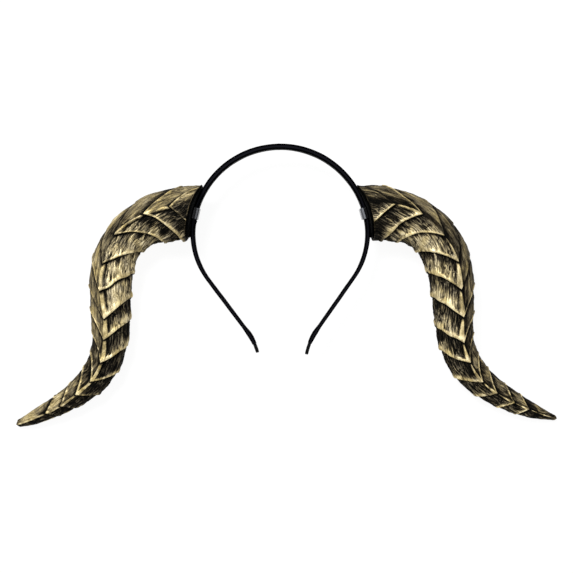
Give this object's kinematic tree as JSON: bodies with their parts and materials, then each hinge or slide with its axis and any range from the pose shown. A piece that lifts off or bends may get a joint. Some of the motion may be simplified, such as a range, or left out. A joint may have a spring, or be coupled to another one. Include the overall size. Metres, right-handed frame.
{
  "type": "devil horns headband",
  "caption": "Slim black hair band that carries a pair of large curved gold horns with overlapping scales, worn on the head as a costume headpiece.",
  "frame": {"origin": "under the middle of the whole, on the surface that the horns' backs lie on", "axes": "+X across the head, +Y up to the band's crown, +Z out of the face side"},
  "size_m": [0.398, 0.204, 0.0385],
  "materials": {
    "ribbon": "black satin ribbon, glued on lengthwise with its seam along the edge",
    "core": "black moulded plastic",
    "horn": "antique gold paint brushed over black on soft moulded vinyl",
    "plate": "black, dull",
    "clip": "grey, smooth"
  },
  "bodies": {
    "root": {"headband": "ribbon", "tip_left": "core", "tip_right": "core", "horn_left": "horn", "horn_right": "horn", "base_plate_left": "plate", "base_plate_right": "plate", "clip_left": "clip", "clip_right": "clip"}
  },
  "joints": []
}
